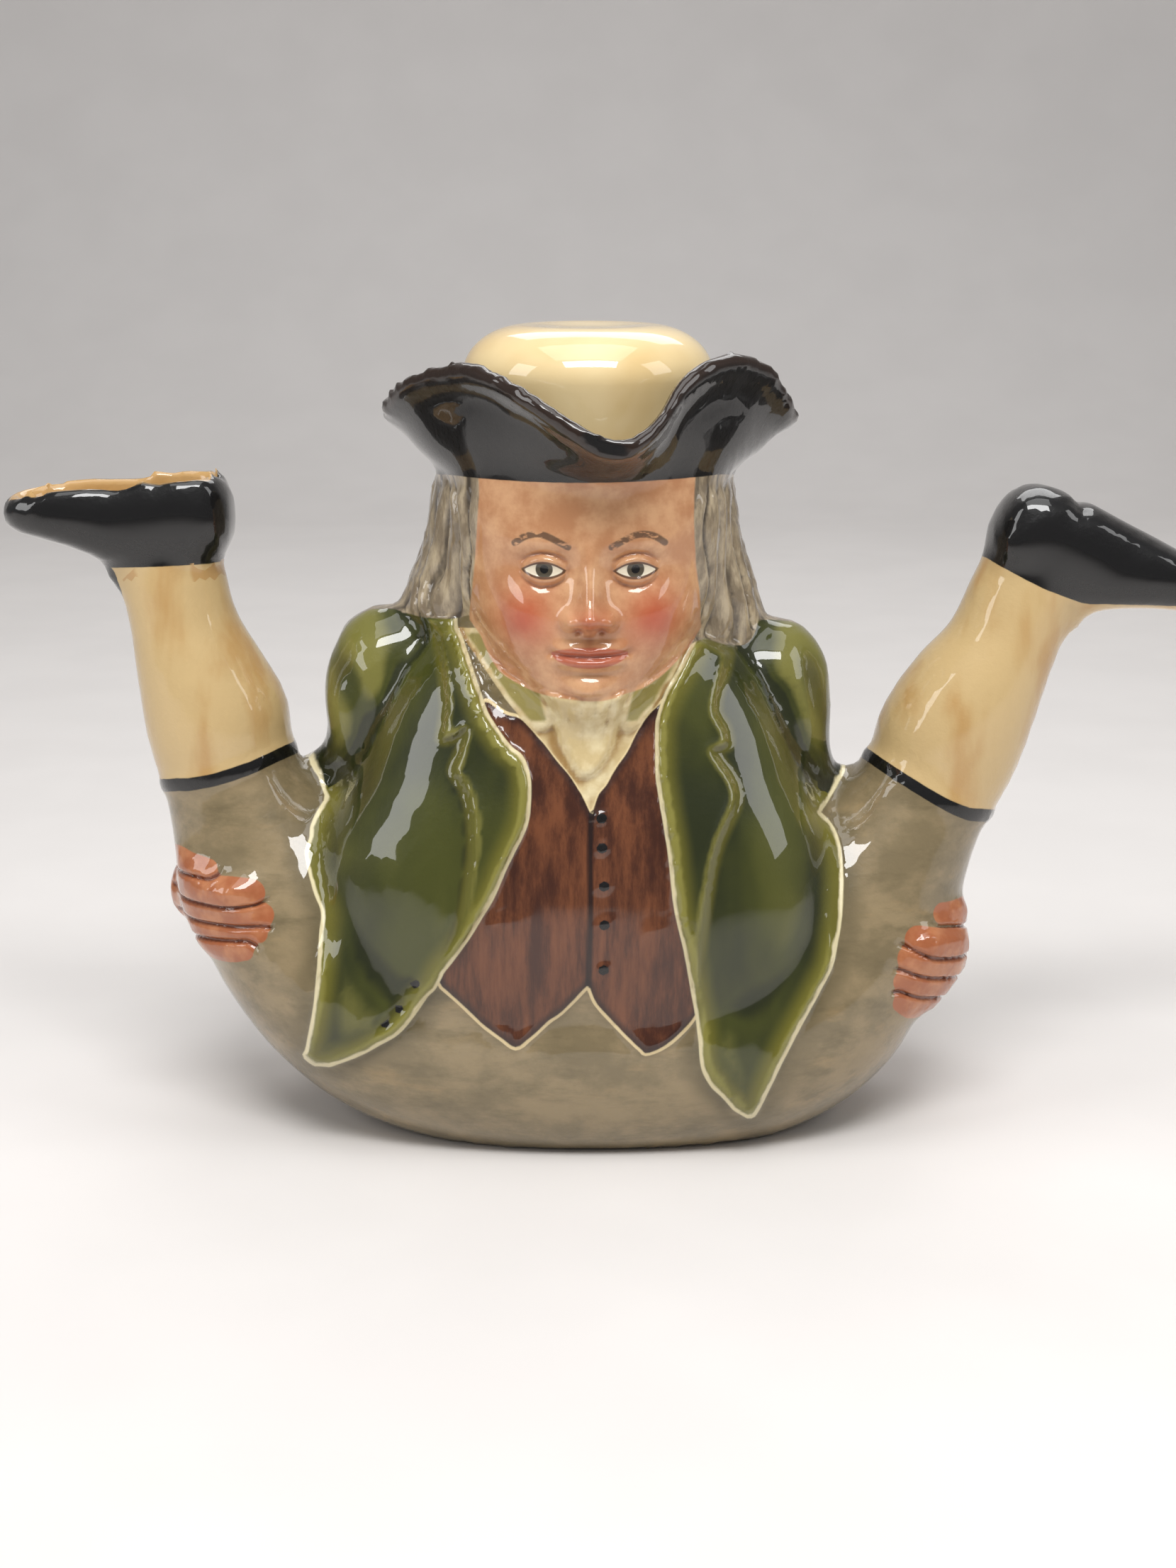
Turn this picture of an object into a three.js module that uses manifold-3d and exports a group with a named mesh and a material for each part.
// Toby jug: a seated figure with both legs in the air, cast hollow, and the hat crown that lifts off as its lid.
// Millimetres. +Z is up, the figure faces -Y, and +X is the viewer's right. The base stands on z = 0.
import * as THREE from 'three';
import { ParametricGeometry } from 'three/addons/geometries/ParametricGeometry.js';
import { mergeVertices } from 'three/addons/utils/BufferGeometryUtils.js';
import Module from 'manifold-3d';

const wasm = await Module();
wasm.setup();

// ---- driving dimensions ----
const WALL = 4;                  // thickness of the casting
const LEG_WALL = 3.6;
const BASE_SINK = 7;             // the seat's round underside is ground flat this far above its lowest line
const WAISTCOAT_STEP = 1.0;      // how far each layer of dress stands on the one under it
const COAT_STEP = 2.2;
const LAPEL_STEP = 3.4;
const HEAD_AXIS = new THREE.Vector2(1.2, -1);   // x, y of the upright line that hat, lid and mouth share
const SEAT_HEIGHT = 154;         // flat top of the head, on which the lid rests
const MOUTH_RADIUS = 21;         // filling mouth under the lid
const LID_RADIUS = 27.9;
const LID_TOP = 182.2;
const LID_WALL = 3.4;
const LID_GAP = 0.35;
const CUT_TOLERANCE = 0.03;      // corners nearer than this are one corner once the forms are joined
const COLLAR_DEPTH = 5.5;        // the lid's locating collar reaches this far into the mouth

// The layers of dress are cut out along straight lines that fan out from this point in front of the figure.
// An outline gives x and z where those lines cross the upright plane y = 0.
const FAN = new THREE.Vector3(1.2, -530, 215);

// ---- small tools ----
// A smooth value through rows of numbers: s runs from 0 at the first row to 1 at the last.
function along(rows, s) {
  const f = Math.min(Math.max(s, 0), 1) * (rows.length - 1);
  const i = Math.min(Math.floor(f), rows.length - 2);
  const t = f - i;
  const row = (k) => rows[Math.min(Math.max(k, 0), rows.length - 1)];
  const [a, b, c, d] = [row(i - 1), row(i), row(i + 1), row(i + 2)];
  return b.map((_, k) => 0.5 * (2 * b[k] + (c[k] - a[k]) * t
    + (2 * a[k] - 5 * b[k] + 4 * c[k] - d[k]) * t * t + (3 * b[k] - a[k] - 3 * c[k] + d[k]) * t * t * t));
}

// A point on a rounded unit square: n = 2 is a circle, and a larger n is squarer.
function rounded(angle, n) {
  const c = Math.cos(angle);
  const s = Math.sin(angle);
  return [Math.sign(c) * Math.abs(c) ** (2 / n), Math.sign(s) * Math.abs(s) ** (2 / n)];
}

const bump = (x, centre, width) => Math.exp(-(((x - centre) / width) ** 2));

// One closed surface from a geometry: shared corners joined, slivers dropped, faces turned outwards.
function solid(geometry, nearness = 1e-4) {
  geometry.deleteAttribute('normal');
  geometry.deleteAttribute('uv');
  const merged = mergeVertices(geometry, nearness);
  const at = merged.getAttribute('position');
  const index = merged.getIndex().array;
  const kept = [];
  for (let i = 0; i < index.length; i += 3) {
    const [a, b, c] = [index[i], index[i + 1], index[i + 2]];
    if (a !== b && b !== c && c !== a) kept.push([a, b, c]);
  }
  const corner = (k) => new THREE.Vector3().fromBufferAttribute(at, k);
  const volume = kept.reduce((sum, [a, b, c]) => sum + corner(a).dot(corner(b).cross(corner(c))), 0);
  const faces = volume < 0 ? kept.map(([a, b, c]) => [a, c, b]) : kept;
  const mesh = new wasm.Mesh({ numProp: 3, vertProperties: new Float32Array(at.array),
    triVerts: new Uint32Array(faces.flat()) });
  return new wasm.Manifold(mesh);
}

// A closed loft: section(s, angle, open) gives [x, y, z] from s = 0 to s = 1. Both ends are closed by a flat cap,
// whose middle is the section with open = 0 in place of 1.
function loft(section, stages, sides) {
  const rings = stages + 2;
  const place = (u, v, target) => {
    const ring = Math.round(u * rings);
    const open = ring === 0 || ring === rings ? 0 : 1;
    const s = Math.min(Math.max((ring - 1) / stages, 0), 1);
    target.set(...section(s, (v === 1 ? 0 : v) * 2 * Math.PI, open));
  };
  return solid(new ParametricGeometry(place, rings, sides));
}

// How far a rounded end has opened: 0 at both ends of a limb, 1 past the length `cap`.
function swell(s, cap) {
  const e = Math.min(s, 1 - s) / cap;
  return e >= 1 ? 1 : Math.sqrt(Math.max(0, 1 - (1 - e) ** 2));
}

// A round limb through points [x, y, z, radius], with rounded ends and the radius less `inset`.
function limb(points, stages, sides, inset = 0) {
  const spine = (s) => new THREE.Vector3(...along(points, s).slice(0, 3));
  const length = new THREE.CatmullRomCurve3(points.map(([x, y, z]) => new THREE.Vector3(x, y, z))).getLength();
  const cap = Math.min(0.45, points[0][3] / length);
  const section = (s, angle) => {
    const t = 0.5 - 0.5 * Math.cos(Math.PI * s);
    const ahead = spine(Math.min(t + 0.01, 1)).sub(spine(Math.max(t - 0.01, 0))).normalize();
    const side = new THREE.Vector3().crossVectors(ahead, new THREE.Vector3(0, 0.3, 1)).normalize();
    const over = new THREE.Vector3().crossVectors(side, ahead);
    const radius = (along(points, t)[3] - inset) * swell(t, cap);
    return spine(t).addScaledVector(side, radius * Math.cos(angle)).addScaledVector(over, radius * Math.sin(angle))
      .toArray();
  };
  return loft(section, stages, sides);
}

// Upright loft of level sections [z, left x, right x, front y, back y, squareness]; `grow` moves it out.
function stack(rows, stages, sides, grow = 0) {
  const section = (s, angle, open) => {
    const [z, left, right, front, back, n] = along(rows, s);
    const [c, d] = rounded(angle, n);
    const halfX = ((right - left) / 2 + grow) * open;
    const halfY = ((back - front) / 2 + grow) * open;
    const lift = s === 0 ? -grow : s === 1 ? grow : 0;
    return [(left + right) / 2 + halfX * c, (front + back) / 2 + halfY * d, z + lift];
  };
  return loft(section, stages, sides);
}

// A prism between an outline and the fan point: from y = near to y = far.
function fanPrism(outline, near, far) {
  const flat = outline.slice();
  if (THREE.ShapeUtils.area(flat) < 0) flat.reverse();
  const carried = (p, y) => {
    const k = (y - FAN.y) / -FAN.y;
    return [FAN.x + (p.x - FAN.x) * k, y, FAN.z + (p.y - FAN.z) * k];
  };
  const count = flat.length;
  const vertices = [...flat.map((p) => carried(p, near)), ...flat.map((p) => carried(p, far))];
  const lidFaces = THREE.ShapeUtils.triangulateShape(flat, []);
  const faces = [];
  for (const [a, b, c] of lidFaces) faces.push([a, b, c], [a + count, c + count, b + count]);
  for (let i = 0; i < count; i += 1) {
    const j = (i + 1) % count;
    faces.push([i, i + count, j + count], [i, j + count, j]);
  }
  const geometry = new THREE.BufferGeometry();
  geometry.setAttribute('position', new THREE.Float32BufferAttribute(vertices.flat(), 3));
  geometry.setIndex(faces.flat());
  return solid(geometry);
}

const union = (parts) => parts.reduce((whole, part) => whole.add(part));
const smoothLine = (points, steps) => new THREE.SplineCurve(points.map(([x, z]) => new THREE.Vector2(x, z)))
  .getPoints(steps);
const straight = (points) => points.map(([x, z]) => new THREE.Vector2(x, z));

// ---- seat and legs: one round bar bent into a U, from the left ankle through the seat to the right ankle ----
// [outer x, outer z, inner x, inner z, half depth]
const U_BAR = [
  [-107, 137, -84, 139, 10.5], [-105, 124, -81.6, 128.5, 11.4], [-103.2, 114, -79.2, 117.5, 12.4],
  [-102.3, 105, -74, 108, 14.4],
  [-101.4, 96, -69, 99, 15.9], [-100.2, 88, -67.6, 92, 16.4], [-98.2, 80, -67, 86.4, 16.2],
  [-96.4, 73, -64.5, 81, 17.2], [-95.2, 64, -58, 74, 20], [-93.4, 54, -49, 66, 24],
  [-89.6, 42, -38, 60, 29], [-83, 29, -28, 56, 33.5], [-73, 16, -21, 54, 37],
  [-59, 4.5, -14, 52, 39.5], [-41, -3, -8, 51, 41.5], [-20, -BASE_SINK, -3, 50, 42.5],
  [2, -BASE_SINK - 1, 1, 50, 43], [24, -BASE_SINK, 6, 50, 42.5], [44, -4, 12, 51, 41.5],
  [60, 2.5, 18, 52, 39.5], [72.5, 13, 25, 54, 36.5], [81, 27, 31, 56, 32.5],
  [86.3, 41, 38, 60, 28], [89, 54, 47, 65, 23.5], [91.8, 64.5, 56, 72.5, 20],
  [95, 71, 62.5, 80, 17.4], [98.6, 77.5, 66.6, 85.5, 16.4], [101.6, 85, 68.4, 92.5, 16.6],
  [104.6, 95, 72, 99.8, 16.2], [107.2, 104, 77.6, 107.6, 14.6], [110, 112, 84.4, 115.4, 12.8],
  [113.6, 119.6, 89.8, 128, 11.8], [118, 130, 95, 138, 10.5],
];
// The bar's depth is squarer at the seat than in the round legs.
function uBar(stages, sides, grow = 0) {
  const section = (s, angle, open) => {
    const [xo, zo, xi, zi, depth] = along(U_BAR, s);
    const seat = bump(s, 0.5, 0.2);
    const [c, d] = rounded(angle, 2 + 0.5 * seat);
    const width = Math.hypot(xo - xi, zo - zi) / 2;
    const reach = (1 + grow / width) * open * c;
    return [(xo + xi) / 2 + ((xo - xi) / 2) * reach, (depth + grow) * open * d,
      (zo + zi) / 2 + ((zo - zi) / 2) * reach];
  };
  return loft(section, stages, sides);
}

// ---- trunk: level sections from the skirts of the coat to the collar ----
const TRUNK = [
  [14, -50, 46, -36, 37, 2.6], [24, -58, 53, -39.5, 42, 3], [40, -59, 57.5, -41.5, 43, 3.2],
  [54, -60, 58.5, -41.5, 41.5, 3.2], [66, -60, 57, -40, 38.5, 3], [76, -56, 54, -38, 35, 2.7],
  [86, -51, 50, -35, 32, 2.4], [97, -47, 46, -31.5, 29, 2.3], [107, -41, 40, -28, 27, 2.3],
  [115, -33, 33, -25, 25, 2.2], [121, -24, 24, -20, 22, 2.2],
];

// ---- head, neck and hair ----
const HEAD = [
  [97, -9, 11, -32, 10, 2.1], [101, -14, 16.5, -35, 16, 2.1], [107, -19.5, 22, -37, 24, 2.1],
  [115, -24.5, 27, -37.5, 30, 2.2], [124, -28, 30.5, -37.5, 34, 2.2], [134, -29.8, 32.2, -37, 36, 2.2],
  [144, -30.4, 32.8, -37, 36.5, 2.2], [154.6, -30, 32.4, -36, 36, 2.2],
];
const HAIR = [
  [111, -37, 38, -16, 32], [115, -40.6, 40.8, -18, 34], [121, -40.6, 40, -19.5, 35], [128, -37.6, 37.6, -20.5, 36],
  [136, -35, 35.4, -21.5, 37], [144, -33.6, 34.2, -22.5, 37.5], [153.5, -32.6, 33.4, -23, 34.5],
];

function hairMass(stages, sides) {
  const locks = 14;
  const section = (s, angle, open) => {
    const [z, left, right, front, back] = along(HAIR, s);
    const [c, d] = rounded(angle, 2.7);
    const wave = 0.8 * Math.cos(locks * angle + 3 * Math.sin(5 * s));
    return [(left + right) / 2 + ((right - left) / 2 + wave) * open * c,
      (front + back) / 2 + ((back - front) / 2 + wave) * open * d, z];
  };
  return loft(section, stages, sides);
}

function head(stages, sides) {
  const section = (s, angle, open) => {
    // the corners crowd towards the front, where the face is
    const turn = angle + 0.4 * Math.cos(angle);
    const [z, left, right, front, back, n] = along(HEAD, s);
    const [c, d] = rounded(turn, n);
    return [(left + right) / 2 + ((right - left) / 2) * open * c,
      (front + back) / 2 + ((back - front) / 2) * open * d, z];
  };
  return loft(section, stages, sides);
}

// A calm, plain face on even proportions: the eyes half way up the head, the nose a third below the brow.
const FACE = { x: 1.6, front: -37, brow: 138, eye: 133, nose: 121.5, mouth: 115, chin: 107, eyeSpacing: 9.8 };
function face() {
  const { x, front, brow, eye, nose, mouth, chin, eyeSpacing } = FACE;
  const pair = (make) => [-1, 1].map((side) => make(side));
  const bridge = limb([[x, front + 1.5, brow, 2.2], [x, front - 1.6, (brow + nose) / 2 + 2, 2.6],
    [x, front - 3.4, nose + 1.5, 3.6]], 5, 8);
  const wings = limb([[x - 4.6, front - 0.2, nose + 0.6, 2.2], [x, front - 2.4, nose + 0.4, 2.6],
    [x + 4.6, front - 0.2, nose + 0.6, 2.2]], 5, 5);
  const brows = pair((side) => limb([[x + side * 3.6, front + 1, brow, 1.7], [x + side * 10, front + 2.2, brow + 1.4, 2],
    [x + side * 16.4, front + 5.4, brow, 1.5]], 4, 5));
  const eyes = pair((side) => limb([[x + side * (eyeSpacing - 4.6), front + 3.4, eye, 2.2],
    [x + side * eyeSpacing, front + 2.6, eye, 3], [x + side * (eyeSpacing + 4.6), front + 5, eye, 2.2]], 5, 6));
  const lips = limb([[x - 8, front + 2.2, mouth, 1.3], [x, front + 0.4, mouth, 2.2], [x + 8, front + 2.2, mouth, 1.3]],
    5, 6);
  const chinBall = limb([[x - 6, front + 3.4, chin, 3.4], [x, front + 2, chin - 0.4, 4], [x + 6, front + 3.4, chin, 3.4]],
    5, 6);
  return union([bridge, wings, lips, chinBall, ...brows, ...eyes]);
}

// ---- tricorn brim: a turned-up ring whose rim follows [angle from the front, radius, height] ----
const BRIM_RIM = [
  [-180, 43, 168.5], [-150, 40, 171], [-125, 42, 169], [-103, 46.8, 164], [-90, 46.4, 166.5], [-75, 43.5, 171.5],
  [-60, 40, 175], [-45, 39.4, 176.2], [-30, 41, 175.2], [-15, 46, 171.6], [-3, 49, 166], [8, 50, 162.2],
  [18, 46.6, 165.6], [30, 41.4, 173], [44, 39.4, 176.8], [60, 40.4, 177.4], [75, 43.4, 173.4], [90, 47, 165],
  [103, 46.6, 163.6], [125, 42, 169], [150, 40, 171], [180, 43, 168.5],
];
const BRIM = { base: 151, baseRadius: 34, thickness: 4.4 };
function brimRim(degrees) {
  const k = BRIM_RIM.findIndex((row, i) => i > 0 && degrees <= row[0]);
  const s = (k - 1 + (degrees - BRIM_RIM[k - 1][0]) / (BRIM_RIM[k][0] - BRIM_RIM[k - 1][0])) / (BRIM_RIM.length - 1);
  return along(BRIM_RIM, s).slice(1);
}
// Round the ring, the section is a leaf: up the outside, over the round rim and down the inside.
function brim(around, across) {
  const place = (u, v, target) => {
    const degrees = -180 + 360 * (u === 1 ? 0 : u);
    const [rimRadius, rimHeight] = brimRim(degrees);
    const turn = 2 * Math.PI * (v === 1 ? 0 : v);
    const climb = 0.5 - 0.5 * Math.cos(turn);
    const half = BRIM.thickness / 2 * (1 + 0.25 * climb);
    const side = Math.sin(turn) >= 0 ? 1 : -1;
    const spread = half * side * Math.sqrt(Math.abs(Math.sin(turn)));
    const flare = climb ** 0.75;
    const radius = BRIM.baseRadius - 2 + (rimRadius - BRIM.baseRadius) * flare + spread;
    const height = BRIM.base + (rimHeight - BRIM.base) * climb;
    const a = THREE.MathUtils.degToRad(degrees);
    target.set(HEAD_AXIS.x + radius * Math.sin(a), HEAD_AXIS.y - radius * Math.cos(a), height);
  };
  return solid(new ParametricGeometry(place, around, across));
}

// ---- sleeves, from the shoulder down behind the thigh to the wrist: [x, y, z, radius] ----
const SLEEVE_LEFT = [
  [-38, 4, 117, 12.5], [-44, 2, 105, 13.8], [-46.6, 0, 96, 12.8], [-49, 1, 88, 10.8], [-53.5, 5, 79, 10.2],
  [-61, 17, 70, 10], [-73, 25, 62, 9.6], [-86, 23, 55, 9.4], [-90.5, 12, 52, 8.6],
];
const SLEEVE_RIGHT = [
  [37, 4, 114, 12.5], [42.5, 2, 102.5, 13.8], [45.4, 0, 93, 12.4], [47.4, 1, 85, 10.6], [51, 5, 76, 10],
  [59, 17, 66, 9.8], [69, 25, 55, 9.6], [79, 23, 44, 9.2], [83.5, 12, 38, 8.6],
];

// ---- hands: the back of the hand on the outside of the thigh, four fingers and a thumb over its front ----
// Each finger is [knuckle x, knuckle z, tip x, tip z, radius].
function hand(palm, fingers, thumb) {
  const laid = fingers.map(([x0, z0, x1, z1, radius]) => {
    const outwards = 2.4 * Math.sign(x0);
    return limb([[x0, -3, z0, radius], [(2 * x0 + x1) / 3 + outwards, -15, (2 * z0 + z1) / 3, radius],
      [(x0 + 2 * x1) / 3, -22.5, (z0 + 2 * z1) / 3, radius], [x1, -25.5, z1, radius * 0.8]], 5, 6);
  });
  return union([limb(palm, 5, 7), ...laid, limb(thumb, 4, 6)]);
}

// ---- shoes: lying with the sole upwards. [along the foot, sole height, instep height, half width] ----
const SHOE = [
  [0.6, -6, -13, 4.5], [2, -2.6, -17, 8.6], [4.6, 0.2, -20.4, 10.8], [9, 1.5, -21.6, 12], [18, 1.9, -21.4, 12], [27, 1.5, -20.4, 11.9],
  [33, 1.3, -16.8, 12.2], [40, 0.9, -13.2, 12.2], [46, 0.2, -11, 10.6], [49.6, -1, -9.4, 8.2], [51.6, -2.6, -8, 5.4], [52.3, -4.2, -6.6, 2.4],
];
// Places a shoe: heel corner, the way the toe points (1 right, -1 left), its fall in degrees and its length scale.
function shoe({ heel, way, fall, scale }, { inset = 0, raise = 0, stages = 10, sides = 12 } = {}) {
  const [cosine, sine] = [Math.cos(fall * Math.PI / 180), Math.sin(fall * Math.PI / 180)];
  const section = (s, angle, open) => {
    const [reach, top, bottom, half] = along(SHOE, s);
    const [c, d] = rounded(angle, 2.6);
    const rise = (Math.max((top - bottom) / 2 - inset, 0.6) * d + (d > 0 ? raise : 0)) * open;
    const pull = 1 - inset * 2 / 52;
    const u = (26 + (reach - 26) * pull) * scale;
    const w = (top + bottom) / 2 + rise;
    return [heel[0] + way * (u * cosine + w * sine), heel[1] + Math.max(half - inset, 0.6) * open * c,
      heel[2] - u * sine + w * cosine];
  };
  return loft(section, stages, sides);
}
const SHOE_LEFT = { heel: [-79.6, 0, 151], way: -1, fall: 6, scale: 0.98 };
const SHOE_RIGHT = { heel: [97, 0, 148.5], way: 1, fall: 25, scale: 1.04 };

// ---- outlines of the dress, as x and z on the plane y = 0 ----
// The coat's two front edges, from the collar down to where the lapel ends; the coat tails go on from there.
const EDGE_LEFT = [[-29, 114], [-25.4, 104], [-20.7, 91.3], [-14.4, 83.8], [-12.4, 75.5], [-14, 65], [-18.8, 55],
  [-27, 39.4], [-33.6, 30]];
const EDGE_RIGHT = [[26, 111], [20.9, 101.8], [17.1, 90.1], [17.2, 80], [18.6, 70.1], [21.1, 52.5], [24.3, 35.7],
  [26.4, 24]];
const COAT_LEFT = [
  ...smoothLine([...EDGE_LEFT, [-44.1, 15.5], [-54.6, 9.4], [-63, 6.9]], 15),
  ...smoothLine([[-66, 8.4], [-64.8, 18.1], [-62.6, 31.5], [-61.5, 45.9], [-64.8, 60], [-63.3, 67], [-59.6, 73.5]], 7),
  ...straight([[-52, 80], [-48, 100], [-42, 114]]),
];
const COAT_RIGHT = [
  ...smoothLine([...EDGE_RIGHT, [28.7, 6.5], [33.6, -0.8], [39, -6]], 14),
  ...smoothLine([[41.8, -5.4], [48.9, 10.8], [56.5, 26.6], [60.4, 38.5], [61, 52.5], [59.2, 64.6], [55.2, 70.1]], 7),
  ...straight([[50, 80], [46, 100], [40, 114]]),
];
const LAPEL_LEFT = [
  ...smoothLine(EDGE_LEFT, 11),
  ...smoothLine([[-29, 46], [-25.9, 60], [-26.6, 71.6], [-30, 80], [-27.2, 89.7]], 5),
  ...straight([[-32.5, 88], [-31.8, 99], [-33.7, 113]]),
];
const LAPEL_RIGHT = [
  ...smoothLine(EDGE_RIGHT, 10),
  ...smoothLine([[28.6, 40], [31.1, 59.1], [35.9, 73], [32.6, 81.4], [30.4, 85]], 5),
  ...straight([[33.6, 87], [31, 96], [32.7, 104]]),
];
const WAISTCOAT = [
  ...smoothLine([[-18.1, 94], [-10.6, 89], [-6.3, 83.3], [2.1, 69.8]], 4),
  ...smoothLine([[2.1, 69.8], [7.8, 81.4], [12.5, 89.7], [18, 97]], 4).slice(1),
  ...straight([[30, 90], [30, 30], [25.8, 18]]),
  ...smoothLine([[23.8, 15.5], [19.8, 11.9], [15.3, 10], [10.3, 14.5], [1.3, 27.3]], 6),
  ...smoothLine([[1.3, 27.3], [-8.6, 17.8], [-16, 11.4], [-24.2, 17.5], [-33.7, 26.8]], 5).slice(1),
  ...straight([[-36, 40], [-30, 90]]),
];
const CRAVAT = smoothLine([[-8, 99], [-6.2, 90], [-1.6, 79.5], [1.4, 77], [4, 80], [8, 90], [10, 99], [-8, 99]], 10)
  .slice(1);

// ---- the casting ----
const trunk = (grow, stages, sides) => stack(TRUNK, stages, sides, grow);

// A layer of dress: the body grown by `step`, kept only inside an outline on the front.
const layer = (outline, step) => union([uBar(28, 14, step), trunk(step, 8, 16)])
  .intersect(fanPrism(outline, -70, -8));

const leftHand = hand([[-86, 15, 52, 9], [-88.6, 4, 51.5, 9], [-87.5, -6, 49.5, 8.6]],
  [[-92.5, 56, -74.5, 58.3, 3.1], [-92.5, 51, -71.8, 53, 2.8], [-91, 46.5, -72, 48.9, 2.6],
    [-88, 42.5, -75.7, 45.2, 2.4]],
  [[-92, -1, 61.5, 3], [-90.5, -12, 62.5, 2.8], [-84.5, -19, 61.5, 2.2]]);
const rightHand = hand([[80, 15, 38, 9], [82.6, 4, 37, 9], [81.4, -6, 35.5, 8.8]],
  [[87.6, 41, 75.8, 47.3, 3.1], [87.6, 36, 73.3, 43, 2.9], [85.4, 31.5, 71.2, 38, 2.8],
    [80.6, 27, 71, 33.2, 2.7]],
  [[87, -1, 46, 3], [86.4, -11, 49.5, 2.8], [80.8, -18, 51.2, 2.2]]);

const outside = union([
  uBar(28, 14), trunk(0, 8, 16), head(7, 18), face(), hairMass(5, 28), brim(32, 8),
  limb(SLEEVE_LEFT, 10, 9), limb(SLEEVE_RIGHT, 10, 9), leftHand, rightHand,
  shoe(SHOE_LEFT), shoe(SHOE_RIGHT),
  layer(WAISTCOAT, WAISTCOAT_STEP), layer(CRAVAT, COAT_STEP),
  layer(COAT_LEFT, COAT_STEP), layer(COAT_RIGHT, COAT_STEP),
  layer(LAPEL_LEFT, LAPEL_STEP), layer(LAPEL_RIGHT, LAPEL_STEP),
]);

// Inside: the same forms less the wall, joined into one space from the mouth to the open shoe.
const sleeveHollow = (rows) => limb(rows.slice(0, 5), 6, 6, WALL);
const headInset = HEAD.slice(1).map(([z, left, right, front, back, n]) => [
  z, left + WALL, right - WALL, front + WALL, back - WALL, n]);
headInset[0][0] += WALL;
headInset[headInset.length - 1][0] = SEAT_HEIGHT - WALL;
const inside = union([
  uBar(22, 10, -LEG_WALL), trunk(-WALL, 6, 12), stack(headInset, 4, 12),
  sleeveHollow(SLEEVE_LEFT), sleeveHollow(SLEEVE_RIGHT),
  shoe(SHOE_LEFT, { inset: 2.8, raise: 8, stages: 9, sides: 10 }),
  shoe(SHOE_RIGHT, { inset: 3.2, stages: 8, sides: 8 }),
]);

function slab(low, high, reach = 200) {
  const box = new THREE.BoxGeometry(2 * reach, 2 * reach, high - low);
  box.translate(0, 0, (low + high) / 2);
  return solid(box);
}
function drum(radius, low, high, sides) {
  const profile = [[0, low], [radius, low], [radius, high], [0, high]].map(([r, z]) => new THREE.Vector2(r, z));
  const lathe = new THREE.LatheGeometry(profile, sides);
  lathe.rotateX(Math.PI / 2);
  lathe.translate(HEAD_AXIS.x, HEAD_AXIS.y, 0);
  return solid(lathe);
}

const cavity = inside.subtract(slab(-60, WALL));
const jugBody = outside
  .subtract(slab(-60, 0))
  .subtract(cavity)
  .subtract(drum(LID_RADIUS + 0.6, SEAT_HEIGHT, LID_TOP + 5, 36))
  .subtract(drum(MOUTH_RADIUS, SEAT_HEIGHT - 12, SEAT_HEIGHT + 5, 28));

// ---- lid: the crown of the hat, a hollow drum with a locating collar ----
const CROWN_ROUND = { wide: 14, high: 11 };    // the elliptical shoulder between the crown's side and top
function lid() {
  const foot = SEAT_HEIGHT + LID_GAP;
  const collar = MOUTH_RADIUS - 0.6;
  const shoulder = (inset, steps) => Array.from({ length: steps + 1 }, (_, i) => {
    const a = (i / steps) * Math.PI / 2;
    return [LID_RADIUS - CROWN_ROUND.wide + (CROWN_ROUND.wide - inset) * Math.sin(a),
      LID_TOP - CROWN_ROUND.high + (CROWN_ROUND.high - inset) * Math.cos(a)];
  });
  const profile = [
    [0, LID_TOP - 0.6],
    ...shoulder(0, 5),
    [LID_RADIUS - 0.4, foot + 4], [LID_RADIUS - 1, foot],
    [collar, foot], [collar, foot - COLLAR_DEPTH], [collar - LID_WALL, foot - COLLAR_DEPTH],
    [collar - LID_WALL, foot + LID_WALL], [LID_RADIUS - LID_WALL - 0.6, foot + LID_WALL],
    ...shoulder(LID_WALL, 3).reverse(),
    [0, LID_TOP - LID_WALL - 0.6],
  ].map(([r, z]) => new THREE.Vector2(r, z));
  const lathe = new THREE.LatheGeometry(profile, 28);
  lathe.rotateX(Math.PI / 2);
  lathe.translate(HEAD_AXIS.x, HEAD_AXIS.y, 0);
  return solid(lathe);
}

// ---- the pieces as named meshes ----
function surface(manifold) {
  const { vertProperties, triVerts } = manifold.getMesh();
  const geometry = new THREE.BufferGeometry();
  geometry.setAttribute('position', new THREE.BufferAttribute(new Float32Array(vertProperties), 3));
  geometry.setIndex(new THREE.BufferAttribute(new Uint32Array(triVerts), 1));
  return geometry;
}

// Joining leaves slivers along the seams: they are closed up, corner to corner.
function cleaned(manifold) {
  const smooth = (part) => part.asOriginal().setTolerance(CUT_TOLERANCE);
  return smooth(solid(surface(smooth(manifold)), CUT_TOLERANCE));
}

function piece(name, manifold, material) {
  const geometry = surface(manifold);
  geometry.computeVertexNormals();
  const mesh = new THREE.Mesh(geometry, material);
  mesh.name = name;
  return mesh;
}

const jug = new THREE.Group();
jug.add(piece('jug_body', cleaned(jugBody), new THREE.MeshStandardMaterial({ color: 0x6b6a3c, roughness: 0.18, metalness: 0 })));
jug.add(piece('lid', lid(), new THREE.MeshStandardMaterial({ color: 0xe6cc98, roughness: 0.16, metalness: 0 })));

export default jug;
